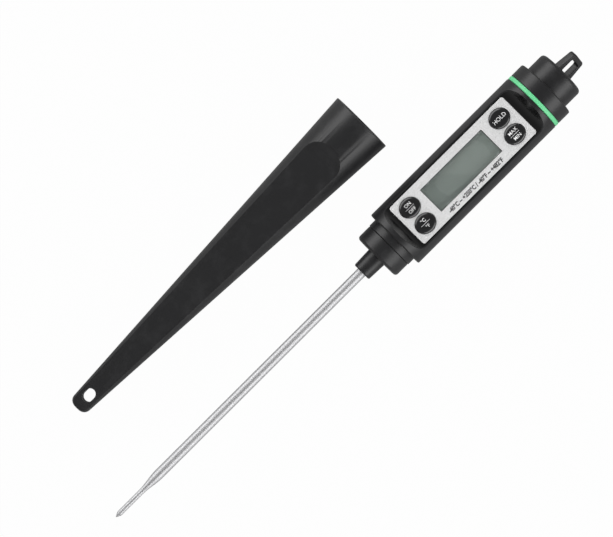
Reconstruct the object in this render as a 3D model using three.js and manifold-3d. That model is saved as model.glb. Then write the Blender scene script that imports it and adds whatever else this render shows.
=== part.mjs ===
// Digital pocket thermometer for meat: a reduced-tip steel probe on a round plastic handle with a
// display, four keys and a screwed battery cap, and the tapered sheath that covers the probe.
// Millimetres. +X runs along the handle from the point to the hang loop, +Z is the display's normal.
// Inside the thermometer group, x is counted from the probe's point and z from the handle's axis.
import * as THREE from 'three';
import * as BufferGeometryUtils from 'three/addons/utils/BufferGeometryUtils.js';
import Module from 'manifold-3d';

// ---------- driving dimensions ----------
// lengths along the axis, from the point to the loop
const pointLength = 1.6;
const pointBlend = 0.5;           // from the cone of the point to the full needle
const needleLength = 11.4;
const swageLength = 9.5;
const tubeReach = 105.2;          // parallel tube that shows in front of the boot
const bootLength = 7.8;
const noseLength = 6.3;
const neckLength = 3.1;
const bodyLength = 71.2;
const sealWidth = 1.8;
const flangeLength = 5.7;
const knobLength = 8.3;
const loopLength = 8.1;

// probe
const needleRadius = 1.05;
const tubeRadius = 2.0;
const needleWall = 0.3;
const tubeWall = 0.4;
const tipWall = 2.4;              // solid metal at the point
const beadRadius = 0.55;
const leadRadius = 0.2;
const leadSpread = 0.34;          // half the distance between the two leads in the tube
const leadStraight = 0.4;         // straight lead behind the tube, before it climbs
const leadTail = 2.4;             // length of lead that lies over its pad on the board
const tubeInside = 1.0;           // tube that stands inside the shell's front wall

// boot and nose
const bootFrontRadius = 3.75;
const bootRearRadius = 4.1;
const bootFlangeRadius = 6.2;
const bootFlangeLength = 1.0;
const noseRadius = 9.95;
const noseWall = 1.7;
const noseEdge = 1.3;
const neckRadius = 10.1;
const noseSpigotRadius = 8.0;
const oringSection = 0.45;
const oringGrooveDepth = 1.0;
const oringGrooveWidth = 1.4;
const oringBehindMiddle = 0.4;    // groove's middle from the middle of the spigot
const pottingRadius = 4.8;
const pottingReach = 0.8;         // potting in front of the neck's front face

// handle shell
const bodyRadius = 12.5;
const wall = 1.8;
const flatHeight = 7.0;           // display face above the axis
const scoopFrontMargin = 2.0;     // land between each end of the shell and the display recess
const scoopRearMargin = 1.1;
const scoopFrontLength = 3.9;
const scoopRearLength = 4.8;
const scoopSweep = 35;            // degrees that a recess's curved end wall turns through
const frontWall = 2.5;
const spigotRadius = 10.0;
const spigotLength = 6.3;
const moduleBoreRadius = 8.2;

// display face
const labelLength = 58.4;
const labelWidth = 18.4;
const labelCorner = 0.9;
const labelThickness = 0.4;
const labelFrontMargin = 6.2;     // from the shell's front face to the label
const windowLength = 31.6;
const windowWidth = 11.25;
const windowFromLabel = 12.9;     // from the label's front edge to the window
const windowOffset = 0.4;         // the window sits a little to the sheath's side
const windowLedge = 0.8;
const windowCorner = 0.3;
const windowThickness = 1.1;
const keyLength = 8.3;
const keyWidth = 7.2;
const keyRowOffset = 4.05;
const keyInset = 5.8;             // front key centres from the label's front edge
const rearKeyInset = 6.3;
const keyProud = 1.1;
const keySideProud = 0.25;        // straight side of a key above the label
const keyFlangeX = 0.5;
const keyFlangeY = 0.2;
const keyFlangeThickness = 0.45;
const keyStemRadius = 1.5;
const keyTravel = 0.4;

// inside module
const boardThickness = 1.0;
const boardBelowFloor = 3.6;      // from the display floor's underside to the circuit board
const boardWidth = 15.0;
const boardFrontGap = 3.1;        // from the inner face of the front wall to the board
const boardRearGap = 1.0;         // from the board to the cavity's rear end
const chassisThickness = 1.5;
const chassisWidth = 15.2;
const chassisLead = 1.0;          // chassis in front of the board
const ribInset = 6.0;             // from each end of the board to the chassis's rib
const ribWidth = 2.0;
const ribDepth = 3.0;
const bulkheadThickness = 1.0;
const glassLength = 36.0;
const glassWidth = 12.6;
const glassThickness = 1.9;
const holderBorder = 2.0;
const holderBelowFloor = 1.05;    // from the holder's top to the underside of the display floor
const holderWidth = 14.0;
const stripWidth = 1.0;
const stripInset = 1.0;           // from each end of the glass to a connector strip
const domeRadius = 2.4;
const domeHeight = 0.95;
const chipRadius = 3.4;
const chipHeight = 0.9;
const chipForward = 4.0;          // from the glass's middle towards the point
const crystalRadius = 1.0;
const crystalLength = 6.0;
const crystalOffset = 1.0;
const screwShank = 0.8;
const screwHead = 1.4;
const screwHeadHeight = 0.85;
const screwReach = 3.2;
const screwSlotWidth = 0.4;
const screwInset = 1.7;
const screwOffset = 5.5;

// battery
const cellRadius = 5.8;
const cellThickness = 5.4;
const cellStepHeight = 0.6;       // the smaller front end of the cell
const cellStepDepth = 0.9;
const carrierRadius = 7.9;
const carrierFloor = 1.2;
const contactThickness = 0.3;
const contactWidth = 3.0;
const contactInset = 1.4;         // from the cell's edge to the front contact's ends

// battery cap
const capRadius = 12.4;
const knobRadius = 9.75;
const capEndWall = 2.0;
const flangeEdge = 0.4;
const knobEdge = 1.5;
const springChamberRadius = 7.2;
const springWire = 0.3;
const springWideRadius = 5.0;
const springNarrowRadius = 3.6;
const springTurns = 4;
const loopWidth = 10.8;
const loopEndWidth = 8.2;
const loopThickness = 2.8;
const loopLeg = 2.0;
const loopCorner = 1.2;
const loopRoot = 0.5;             // loop that is sunk into the knob
const slotCorner = 1.0;
const slotWidth = 6.8;
const loopTurn = 57;              // degrees that the loop is turned about the axis

// sheath
const sheathLength = 149.7;
const sheathMouthRadius = 12.6;
const sheathEndRadius = 3.85;
const sheathWall = 1.3;
const sheathGripRadius = 10.2;
const sheathGripLength = 5.5;
const sheathGripShoulder = 0.3;   // wall added where the cone meets the mouth's bore
const sheathRoofRise = 1.5;       // cavity's roof at the mouth above the panel's line
const sheathSolidEnd = 12.5;
const sheathEndRound = 2.6;
const holeLength = 5.7;
const holeWidth = 4.2;
const holeFromEnd = 6.7;
const panelMouthDepth = 3.2;      // depth of the flat front panel below the cone
const panelEndDepth = 1.6;
const panelFromMouth = 14.4;
const panelScoop = 7.8;
const sheathBeside = 39.2;        // sheath axis from the handle's axis, as it lies
const sheathEndFromPoint = 17.5;  // closed end from the probe's point, as it lies

// clearances
const slip = 0.15;                // moving and push fits, each side
const seat = 0.05;                // between faces that rest on each other
const loose = 0.2;                // parts that are dropped in
const past = 1;                   // how far a cutting shape runs past what it cuts

const edgeShare = 0.3;            // where a rounded edge's middle corner sits on its 45 degree line
const facets = 32;
const fineFacets = 16;

// ---------- stations along the axis ----------
const bootFront = pointLength + needleLength + swageLength + tubeReach;
const noseFront = bootFront + bootLength;
const neckFront = noseFront + noseLength;
const bodyFront = neckFront + neckLength;
const bodyRear = bodyFront + bodyLength;
const sealRear = bodyRear + sealWidth;
const flangeRear = sealRear + flangeLength;
const knobRear = flangeRear + knobLength;
const loopEnd = knobRear + loopLength;
const innerFront = bodyFront + frontWall;
const spigotEnd = bodyRear + spigotLength;
const cavityRear = bodyRear - wall;
const labelFront = bodyFront + labelFrontMargin;
const windowFront = labelFront + windowFromLabel;
const windowMiddle = windowFront + windowLength / 2;
const keyFrontX = labelFront + keyInset;
const keyRearX = labelFront + labelLength - rearKeyInset;
const noseSpigotFront = noseFront + noseWall + bootFlangeLength + 2 * loose;
const facetRatio = Math.cos(Math.PI / facets);
const axisHeight = bodyRadius * facetRatio;
const bodyMiddle = (bodyFront + bodyRear) / 2;
const innerFlat = flatHeight - wall;
const boardTop = innerFlat - boardBelowFloor;
const ledgeFloor = flatHeight - windowThickness - 2 * seat;
const bulkheadRear = cavityRear + bulkheadThickness;
const keyFlangeTop = flatHeight - slip;
const keyWellFloor = keyFlangeTop - keyFlangeThickness - keyTravel - slip;

// ---------- solids ----------
const wasm = await Module();
wasm.setup();

function solid(geometry) {
  const bare = geometry.clone();
  bare.deleteAttribute('normal');
  bare.deleteAttribute('uv');
  const merged = BufferGeometryUtils.mergeVertices(bare, 1e-4);
  const vertProperties = new Float32Array(merged.attributes.position.array);
  const triVerts = new Uint32Array(merged.index.array);
  return new wasm.Manifold(new wasm.Mesh({ numProp: 3, vertProperties, triVerts }));
}

function geometryOf(body) {
  const mesh = body.getMesh();
  const geometry = new THREE.BufferGeometry();
  geometry.setAttribute('position', new THREE.BufferAttribute(new Float32Array(mesh.vertProperties), 3));
  geometry.setIndex(new THREE.BufferAttribute(new Uint32Array(mesh.triVerts), 1));
  return geometry;
}

// a turned piece about the X axis; points are [x, radius], and a facet faces straight down
function turned(points, sides = facets) {
  const profile = points.map(([x, r]) => new THREE.Vector2(r, x));
  const area = profile.reduce((sum, p, i) => {
    const q = profile[(i + 1) % profile.length];
    return sum + p.x * q.y - q.x * p.y;
  }, 0);
  const ordered = area > 0 ? profile : profile.slice().reverse();
  const closed = ordered.every((p) => p.x > 0) ? [...ordered, ordered[0].clone()] : onAxis(ordered);
  const geometry = new THREE.LatheGeometry(closed, sides, Math.PI / sides);
  return geometry.rotateZ(-Math.PI / 2);
}

// starts a profile that meets the axis at the axis, so that the lathe closes on it
function onAxis(points) {
  const count = points.length;
  const start = points.findIndex((p, i) => p.x === 0 && points[(i + count - 1) % count].x === 0);
  return points.map((p, i) => points[(start + i) % count]);
}

function cylinder(from, to, radius, sides = facets) {
  return turned([[from, 0], [from, radius], [to, radius], [to, 0]], sides);
}

function ring(from, to, inner, outer, sides = facets) {
  return turned([[from, inner], [from, outer], [to, outer], [to, inner]], sides);
}

function box(x0, x1, y0, y1, z0, z1) {
  const geometry = new THREE.BoxGeometry(x1 - x0, y1 - y0, z1 - z0);
  return geometry.translate((x0 + x1) / 2, (y0 + y1) / 2, (z0 + z1) / 2);
}

// a plan outline in XY, raised from z0 to z1
function raised(shape, z0, z1, curveSegments = 12) {
  const geometry = new THREE.ExtrudeGeometry(shape, { depth: z1 - z0, bevelEnabled: false, curveSegments });
  return geometry.translate(0, 0, z0);
}

function ellipse(x, y, length, width) {
  const shape = new THREE.Shape();
  shape.absellipse(x, y, length / 2, width / 2, 0, 2 * Math.PI, false, 0);
  return shape;
}

function roundedPlate(x0, x1, y0, y1, corner) {
  const shape = new THREE.Shape();
  shape.moveTo(x0 + corner, y0);
  shape.lineTo(x1 - corner, y0);
  shape.absarc(x1 - corner, y0 + corner, corner, -Math.PI / 2, 0, false);
  shape.absarc(x1 - corner, y1 - corner, corner, 0, Math.PI / 2, false);
  shape.absarc(x0 + corner, y1 - corner, corner, Math.PI / 2, Math.PI, false);
  shape.absarc(x0 + corner, y0 + corner, corner, Math.PI, 1.5 * Math.PI, false);
  return shape;
}

// a side outline in XZ, as wide as the piece it cuts
function sideCut(points, halfWidth) {
  const shape = new THREE.Shape(points.map(([x, z]) => new THREE.Vector2(x, z)));
  const geometry = new THREE.ExtrudeGeometry(shape, { depth: 2 * halfWidth, bevelEnabled: false });
  return geometry.rotateX(Math.PI / 2).translate(0, halfWidth, 0);
}

// points of a concave end that rises from a flat floor to the outer surface
function scoop(floorX, floorZ, endX, endZ, steps = 6) {
  const sweep = THREE.MathUtils.degToRad(scoopSweep);
  return Array.from({ length: steps + 1 }, (_, i) => {
    const along = Math.sin(sweep * (i / steps)) / Math.sin(sweep);
    const up = (1 - Math.cos(sweep * (i / steps))) / (1 - Math.cos(sweep));
    return [floorX + (endX - floorX) * along, floorZ + (endZ - floorZ) * up];
  });
}

function uprightPin(x, y, z0, z1, radius, sides = fineFacets) {
  const geometry = new THREE.CylinderGeometry(radius, radius, z1 - z0, sides);
  return geometry.rotateX(Math.PI / 2).translate(x, y, (z0 + z1) / 2);
}

// ---------- finishes ----------
function finish(color, roughness, metalness = 0, opacity = 1) {
  return new THREE.MeshStandardMaterial({ color, roughness, metalness, opacity, transparent: opacity < 1 });
}
const blackPlastic = finish(0x2a2a2c, 0.45);
const glossBlack = finish(0x141416, 0.15);
const steel = finish(0xc8c8ca, 0.22, 1);
const labelPlate = finish(0xdcdcdc, 0.4, 0.3);
const clearLens = finish(0xdfe8e4, 0.05, 0, 0.35);
const displayGlass = finish(0x76817b, 0.2);
const greenRubber = finish(0x6cdb94, 0.5);
const darkRubber = finish(0x303032, 0.8);
const boardGreen = finish(0x1e6b3a, 0.5);
const epoxy = finish(0x151515, 0.4);
const whitePlastic = finish(0xe6e6e0, 0.5);
const nickel = finish(0xcfcac0, 0.3, 1);
const redInsulation = finish(0xb02a2a, 0.5);
const blackInsulation = finish(0x222222, 0.5);

const thermometer = new THREE.Group();
thermometer.position.set(-bodyMiddle, 0, axisHeight);
const sheathGroup = new THREE.Group();
const model = new THREE.Group();
model.add(thermometer, sheathGroup);

function place(name, geometry, material, group = thermometer) {
  const mesh = new THREE.Mesh(geometry, material);
  mesh.name = name;
  group.add(mesh);
  return mesh;
}

// ---------- probe ----------
// One drawn tube: closed point, thin needle, swage and parallel tube that ends inside the handle.
const tubeEnd = innerFront + tubeInside;
function probeTube() {
  const needleEnd = pointLength + needleLength;
  const swageEnd = needleEnd + swageLength;
  const coneShare = 0.94;
  // the swage is an S-curve drawn in thirds
  const swage = [[1 / 3, 0.26], [2 / 3, 0.74]].map(([along, up]) => (
    [needleEnd + swageLength * along, needleRadius + (tubeRadius - needleRadius) * up]));
  return turned([
    [0, 0],
    [pointLength, needleRadius * coneShare],
    [pointLength + pointBlend, needleRadius],
    [needleEnd, needleRadius],
    ...swage,
    [swageEnd, tubeRadius],
    [tubeEnd, tubeRadius],
    [tubeEnd, tubeRadius - tubeWall],
    [swageEnd, tubeRadius - tubeWall],
    [needleEnd, needleRadius - needleWall],
    [tipWall, needleRadius - needleWall],
    [tipWall, 0],
  ], fineFacets);
}
place('probe_tube', probeTube(), steel);

const beadX = tipWall + beadRadius + loose;
const bead = new THREE.SphereGeometry(beadRadius, 10, 8).translate(beadX, 0, 0);
place('thermistor_bead', bead, epoxy);

// Each lead runs from the bead through the tube, then climbs to its pad on the board.
const boardFront = innerFront + boardFrontGap;
function lead(side) {
  const start = beadX + beadRadius + seat;
  const padZ = boardTop + leadRadius + loose;
  const points = [new THREE.Vector3(start, side * leadSpread, 0)];
  const climbEnd = boardFront - 0.7;
  const straightPieces = 6;
  for (let i = 1; i <= straightPieces; i += 1) {
    const x = start + ((tubeEnd - start) * i) / straightPieces;
    points.push(new THREE.Vector3(x, side * leadSpread, 0));
  }
  points.push(new THREE.Vector3(tubeEnd + leadStraight, side * leadSpread, 0));
  points.push(new THREE.Vector3(climbEnd, side * 3 * leadSpread, padZ));
  points.push(new THREE.Vector3(boardFront + leadTail, side * 4 * leadSpread, padZ));
  const path = new THREE.CatmullRomCurve3(points, false, 'centripetal');
  const section = new THREE.Shape();
  section.absarc(0, 0, leadRadius, 0, 2 * Math.PI, false);
  return new THREE.ExtrudeGeometry(section, { steps: 44, curveSegments: 2, extrudePath: path });
}
place('lead_wire_a', lead(1), redInsulation);
place('lead_wire_b', lead(-1), blackInsulation);

// ---------- boot, nose cap and seal ----------
const flangeFront = noseFront + noseWall + loose;
function probeBoot() {
  const edge = 0.5;
  const bore = tubeRadius + slip;
  return turned([
    [bootFront, bore],
    [bootFront, bootFrontRadius - edge],
    [bootFront + edge, bootFrontRadius],
    [noseFront, bootRearRadius],
    [flangeFront, bootRearRadius],
    [flangeFront, bootFlangeRadius],
    [flangeFront + bootFlangeLength, bootFlangeRadius],
    [flangeFront + bootFlangeLength, bore],
  ], fineFacets);
}
place('probe_boot', probeBoot(), blackPlastic);

const noseBore = noseSpigotRadius + slip;
function noseCap() {
  const bevel = noseEdge * edgeShare;
  return turned([
    [noseFront, bootRearRadius + slip],
    [noseFront, noseRadius - noseEdge],
    [noseFront + bevel, noseRadius - bevel],
    [noseFront + noseEdge, noseRadius],
    [neckFront - seat, noseRadius],
    [neckFront - seat, noseBore],
    [noseFront + noseWall, noseBore],
    [noseFront + noseWall, bootRearRadius + slip],
  ]);
}
place('nose_cap', noseCap(), blackPlastic);

const oringX = (noseSpigotFront + neckFront) / 2 + oringBehindMiddle;
function noseOring() {
  const middle = noseSpigotRadius - oringGrooveDepth + oringSection + slip;
  const corners = 6;
  const points = Array.from({ length: corners }, (_, i) => {
    const angle = (i / corners) * 2 * Math.PI;
    return [oringX + oringSection * Math.cos(angle), middle + oringSection * Math.sin(angle)];
  });
  return turned(points);
}
place('nose_oring', noseOring(), darkRubber);

const pottingFront = neckFront - pottingReach;
const pottingEnd = innerFront - seat;
const potting = ring(pottingFront, pottingEnd, tubeRadius + slip, pottingRadius - slip, fineFacets);
place('potting_plug', potting, epoxy);

// ---------- handle shell ----------
const floorFront = bodyFront + scoopFrontMargin + scoopFrontLength;
const floorRear = bodyRear - scoopRearMargin - scoopRearLength;
function displayRecess() {
  const above = bodyRadius + past;
  const front = scoop(floorFront, flatHeight, bodyFront + scoopFrontMargin, bodyRadius).reverse();
  const rear = scoop(floorRear, flatHeight, bodyRear - scoopRearMargin, bodyRadius);
  const outline = [[front[0][0], above], ...front, ...rear, [rear.at(-1)[0], above]];
  return sideCut(outline, bodyRadius + past);
}

function handleShell() {
  const grooveFloor = noseSpigotRadius - oringGrooveDepth;
  const grooveFront = oringX - oringGrooveWidth / 2;
  const grooveRear = oringX + oringGrooveWidth / 2;
  const edge = 0.4;
  return turned([
    [noseSpigotFront, tubeRadius + slip],
    [noseSpigotFront, noseSpigotRadius],
    [grooveFront, noseSpigotRadius],
    [grooveFront, grooveFloor],
    [grooveRear, grooveFloor],
    [grooveRear, noseSpigotRadius],
    [neckFront, noseSpigotRadius],
    [neckFront, neckRadius],
    [bodyFront, neckRadius],
    [bodyFront, bodyRadius - edge],
    [bodyFront + edge, bodyRadius],
    [bodyRear, bodyRadius],
    [bodyRear, spigotRadius],
    [spigotEnd, spigotRadius],
    [spigotEnd, moduleBoreRadius],
    [cavityRear, moduleBoreRadius],
    [cavityRear, tubeRadius + slip],
  ]);
}

const keyCurve = 6;               // segments of each quarter of a key's outline
function keyPlan(x, y, growX, growY) {
  return ellipse(x, y, keyLength + 2 * growX, keyWidth + 2 * growY);
}
const keys = [
  { name: 'power', x: keyFrontX, y: keyRowOffset },
  { name: 'unit', x: keyFrontX, y: -keyRowOffset },
  { name: 'hold', x: keyRearX, y: keyRowOffset },
  { name: 'range', x: keyRearX, y: -keyRowOffset },
];

function handleBody() {
  const cavityRound = solid(cylinder(innerFront, cavityRear + seat, bodyRadius - wall));
  const underFlat = solid(box(innerFront - past, bodyRear, -bodyRadius, bodyRadius, -bodyRadius, innerFlat));
  const pottingWell = cylinder(pottingFront - seat, innerFront + seat, pottingRadius, fineFacets);
  let shell = solid(handleShell());
  shell = shell.subtract(cavityRound.intersect(underFlat));
  shell = shell.subtract(solid(pottingWell));
  shell = shell.subtract(solid(displayRecess()));
  const halfLength = windowLength / 2;
  const halfWidth = windowWidth / 2;
  const opening = box(windowMiddle - halfLength, windowMiddle + halfLength,
    windowOffset - halfWidth, windowOffset + halfWidth, innerFlat - past, flatHeight + past);
  const ledge = box(windowMiddle - halfLength - windowLedge, windowMiddle + halfLength + windowLedge,
    windowOffset - halfWidth - windowLedge, windowOffset + halfWidth + windowLedge,
    ledgeFloor, flatHeight + past);
  shell = shell.subtract(solid(opening)).subtract(solid(ledge));
  for (const key of keys) {
    const well = keyPlan(key.x, key.y, keyFlangeX + slip, keyFlangeY + slip);
    const stemHole = uprightPin(key.x, key.y, innerFlat - past, flatHeight, keyStemRadius + slip);
    shell = shell.subtract(solid(raised(well, keyWellFloor, flatHeight + past, keyCurve)));
    shell = shell.subtract(solid(stemHole));
  }
  return geometryOf(shell);
}
place('handle_body', handleBody(), blackPlastic);

// ---------- display face ----------
function faceLabel() {
  const z0 = flatHeight + seat;
  const plate = roundedPlate(labelFront, labelFront + labelLength,
    -labelWidth / 2, labelWidth / 2, labelCorner);
  const halfWidth = windowWidth / 2;
  const window = roundedPlate(windowFront, windowFront + windowLength,
    windowOffset - halfWidth, windowOffset + halfWidth, windowCorner);
  plate.holes.push(new THREE.Path(window.getPoints(3)));
  for (const key of keys) {
    plate.holes.push(new THREE.Path(keyPlan(key.x, key.y, slip, slip).getPoints(12)));
  }
  return raised(plate, z0, z0 + labelThickness, 4);
}
place('face_label', faceLabel(), labelPlate);

function displayWindow() {
  const reachX = windowLength / 2 + windowLedge - slip;
  const reachY = windowWidth / 2 + windowLedge - slip;
  const z0 = ledgeFloor + seat;
  return box(windowMiddle - reachX, windowMiddle + reachX, windowOffset - reachY, windowOffset + reachY,
    z0, z0 + windowThickness);
}
place('display_window', displayWindow(), clearLens);

// Each key is a domed oval cap with a flange under the label and a stem down to its dome.
const labelTop = flatHeight + seat + labelThickness;
const domeTop = boardTop + seat + domeHeight;
function keyCap(key) {
  const crownBase = keyFlangeTop - seat;
  const crownSide = labelTop + keySideProud;
  const crownTop = labelTop + keyProud;
  const steps = 4;
  let cap = solid(raised(keyPlan(key.x, key.y, keyFlangeX, keyFlangeY),
    keyFlangeTop - keyFlangeThickness, keyFlangeTop, keyCurve));
  cap = cap.add(solid(raised(ellipse(key.x, key.y, keyLength, keyWidth), crownBase, crownSide, keyCurve)));
  const crown = new THREE.SphereGeometry(1, 24, 2 * steps);
  crown.rotateX(Math.PI / 2).scale(keyLength / 2, keyWidth / 2, crownTop - crownSide);
  crown.translate(key.x, key.y, crownSide - seat);
  cap = cap.add(solid(crown));
  cap = cap.add(solid(uprightPin(key.x, key.y, domeTop + loose, keyFlangeTop - seat, keyStemRadius)));
  return geometryOf(cap);
}
for (const key of keys) place(`${key.name}_key`, keyCap(key), glossBlack);

// ---------- circuit module ----------
const boardBottom = boardTop - boardThickness;
const boardRear = cavityRear - boardRearGap;
const chassisTop = boardBottom - seat;
const screws = [
  { name: 'board_screw_front', x: boardFront + screwInset, y: screwOffset },
  { name: 'board_screw_rear', x: boardRear - screwInset, y: -screwOffset },
];

function drilled(geometry, z0, z1, radius) {
  return screws.reduce((body, screw) => body.subtract(solid(uprightPin(screw.x, screw.y, z0, z1, radius))),
    solid(geometry));
}

function circuitBoard() {
  const plate = box(boardFront, boardRear, -boardWidth / 2, boardWidth / 2, boardBottom, boardTop);
  return geometryOf(drilled(plate, boardBottom - past, boardTop + past, screwShank + slip));
}
place('circuit_board', circuitBoard(), boardGreen);

function chassis() {
  const bottom = chassisTop - chassisThickness;
  const half = chassisWidth / 2;
  let body = drilled(box(boardFront - chassisLead, bulkheadRear - seat, -half, half, bottom, chassisTop),
    bottom - past, chassisTop + past, screwShank + slip);
  const disc = cylinder(boardRear + loose, bulkheadRear, moduleBoreRadius - loose);
  const insideCavity = box(boardRear, bulkheadRear + past, -bodyRadius, bodyRadius,
    -bodyRadius, innerFlat - loose);
  body = body.add(solid(disc).intersect(solid(insideCavity)));
  const rib = box(boardFront + ribInset, boardRear - ribInset, -ribWidth / 2, ribWidth / 2,
    bottom - ribDepth, bottom + seat);
  body = body.add(solid(rib));
  return geometryOf(body);
}
place('module_chassis', chassis(), whitePlastic);

for (const screw of screws) {
  const headBase = boardTop + seat;
  const head = solid(uprightPin(screw.x, screw.y, headBase, headBase + screwHeadHeight, screwHead));
  const shank = solid(uprightPin(screw.x, screw.y, headBase - screwReach, headBase + seat, screwShank));
  const slotFloor = boardTop + screwHeadHeight * 0.6;
  const slot = solid(box(screw.x - screwHead, screw.x + screwHead,
    screw.y - screwSlotWidth / 2, screw.y + screwSlotWidth / 2, slotFloor, slotFloor + screwHeadHeight));
  place(screw.name, geometryOf(head.add(shank).subtract(slot)), nickel);
}

// The display glass sits on two rubber connectors, inside a frame that stands on the board.
const holderFloor = boardTop + seat;
const glassBottom = innerFlat - loose - glassThickness;
const glassMiddle = windowMiddle;
function displayHolder() {
  const x = glassLength / 2 + holderBorder;
  const y = holderWidth / 2;
  const innerX = glassLength / 2 + slip;
  const innerY = glassWidth / 2 + slip;
  const holderTop = innerFlat - holderBelowFloor;
  const outer = solid(box(glassMiddle - x, glassMiddle + x, -y, y, holderFloor, holderTop));
  const inner = box(glassMiddle - innerX, glassMiddle + innerX, -innerY, innerY, 0, innerFlat);
  return geometryOf(outer.subtract(solid(inner)));
}
place('display_holder', displayHolder(), whitePlastic);

place('display_glass', box(glassMiddle - glassLength / 2, glassMiddle + glassLength / 2,
  -glassWidth / 2, glassWidth / 2, glassBottom, glassBottom + glassThickness), displayGlass);
for (const [name, side] of [['connector_strip_a', 1], ['connector_strip_b', -1]]) {
  const outer = side * (glassWidth / 2 - loose);
  const inner = outer - side * stripWidth;
  const reach = glassLength / 2 - stripInset;
  place(name, box(glassMiddle - reach, glassMiddle + reach,
    Math.min(inner, outer), Math.max(inner, outer), holderFloor, glassBottom - seat), darkRubber);
}

// a low round cap on the board, domed above a short side
function domeOnBoard(x, y, radius, height, sides = fineFacets) {
  const sideShare = 0.3;
  const side = height * sideShare;
  const steps = 3;
  const profile = [new THREE.Vector2(0, 0), new THREE.Vector2(radius, 0)];
  for (let i = 0; i <= steps; i += 1) {
    const angle = (Math.PI / 2) * (i / steps);
    const r = i === steps ? 0 : radius * Math.cos(angle);
    profile.push(new THREE.Vector2(r, side + (height - side) * Math.sin(angle)));
  }
  const geometry = new THREE.LatheGeometry(profile, sides).rotateX(Math.PI / 2);
  return geometry.translate(x, y, holderFloor);
}
for (const key of keys) {
  place(`${key.name}_dome`, domeOnBoard(key.x, key.y, domeRadius, domeHeight), darkRubber);
}
place('controller_chip', domeOnBoard(glassMiddle - chipForward, 0, chipRadius, chipHeight), epoxy);

const crystalX = (keyRearX + domeRadius + boardRear) / 2;
const crystal = new THREE.CylinderGeometry(crystalRadius, crystalRadius, crystalLength, fineFacets);
crystal.translate(crystalX, crystalOffset, holderFloor + crystalRadius);
place('timing_crystal', crystal, nickel);

// ---------- battery ----------
const carrierFront = bulkheadRear + seat;
const carrierRear = spigotEnd - loose;
const pocketFloor = carrierFront + carrierFloor;
const cellFront = pocketFloor + contactThickness + 2 * seat;
const pocketRadius = cellRadius + contactThickness + 2 * seat;
function batteryCarrier() {
  return turned([
    [carrierFront, 0],
    [carrierFront, carrierRadius],
    [carrierRear, carrierRadius],
    [carrierRear, pocketRadius],
    [pocketFloor, pocketRadius],
    [pocketFloor, 0],
  ]);
}
place('battery_carrier', batteryCarrier(), whitePlastic);

function buttonCell() {
  const end = cellFront + cellThickness;
  const step = cellFront + cellStepHeight;
  const crimp = 0.2;
  const edge = 0.3;
  return turned([
    [cellFront, 0],
    [cellFront, cellRadius - cellStepDepth],
    [step, cellRadius - cellStepDepth],
    [step, cellRadius - crimp],
    [step + edge, cellRadius],
    [end - edge, cellRadius],
    [end, cellRadius - edge],
    [end, 0],
  ]);
}
place('button_cell', buttonCell(), steel);

const contactFront = pocketFloor + seat;
place('contact_negative', box(contactFront, contactFront + contactThickness,
  -contactWidth / 2, contactWidth / 2, contactInset - cellRadius, cellRadius - contactInset), nickel);
// The positive contact is a strip curved round the can's side.
function contactPositive() {
  const inner = cellRadius + seat;
  const front = cellFront + cellStepDepth;
  const rear = cellFront + cellThickness - cellStepHeight;
  const sleeve = solid(ring(front, rear, inner, inner + contactThickness));
  const window = solid(box(pocketFloor, carrierRear, -contactWidth / 2, contactWidth / 2, 0, carrierRadius));
  return geometryOf(sleeve.intersect(window));
}
place('contact_positive', contactPositive(), nickel);

// ---------- seal and battery cap ----------
place('seal_ring', ring(bodyRear + seat, sealRear - seat, spigotRadius + slip, capRadius), greenRubber);

const capBoreEnd = spigotEnd + 2 * loose;
const chamberEnd = knobRear - capEndWall;
function capTurning() {
  const bevel = knobEdge * edgeShare;
  return turned([
    [sealRear, spigotRadius + 2 * slip],
    [sealRear, capRadius],
    [flangeRear - flangeEdge, capRadius],
    [flangeRear, capRadius - flangeEdge],
    [flangeRear, knobRadius],
    [knobRear - knobEdge, knobRadius],
    [knobRear - bevel, knobRadius - bevel],
    [knobRear, knobRadius - knobEdge],
    [knobRear, 0],
    [chamberEnd, 0],
    [chamberEnd, springChamberRadius],
    [capBoreEnd, springChamberRadius],
    [capBoreEnd, spigotRadius + 2 * slip],
  ]);
}

// A flat tapered tab with a slot, standing on the knob's end face and turned about the axis.
function hangLoop() {
  const root = knobRear - loopRoot;
  const barFront = loopEnd - loopLeg;
  const half = loopWidth / 2;
  const endHalf = loopEndWidth / 2;
  const tab = new THREE.Shape();
  tab.moveTo(root, -half);
  tab.lineTo(loopEnd - loopCorner, -endHalf);
  tab.absarc(loopEnd - loopCorner, loopCorner - endHalf, loopCorner, -Math.PI / 2, 0, false);
  tab.absarc(loopEnd - loopCorner, endHalf - loopCorner, loopCorner, 0, Math.PI / 2, false);
  tab.lineTo(root, half);
  const plate = solid(raised(tab, -loopThickness / 2, loopThickness / 2, 4));
  const slotEnd = endHalf - loopLeg * 0.7;
  const slot = new THREE.Shape();
  slot.moveTo(knobRear, -slotWidth / 2);
  slot.lineTo(barFront - slotCorner, -slotWidth / 2);
  slot.lineTo(barFront, -slotEnd);
  slot.lineTo(barFront, slotEnd);
  slot.lineTo(barFront - slotCorner, slotWidth / 2);
  slot.lineTo(knobRear, slotWidth / 2);
  return plate.subtract(solid(raised(slot, -loopThickness, loopThickness)));
}

function batteryCap() {
  const loop = hangLoop().rotate([loopTurn, 0, 0]);
  return geometryOf(solid(capTurning()).add(loop));
}
place('battery_cap', batteryCap(), blackPlastic);

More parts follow.
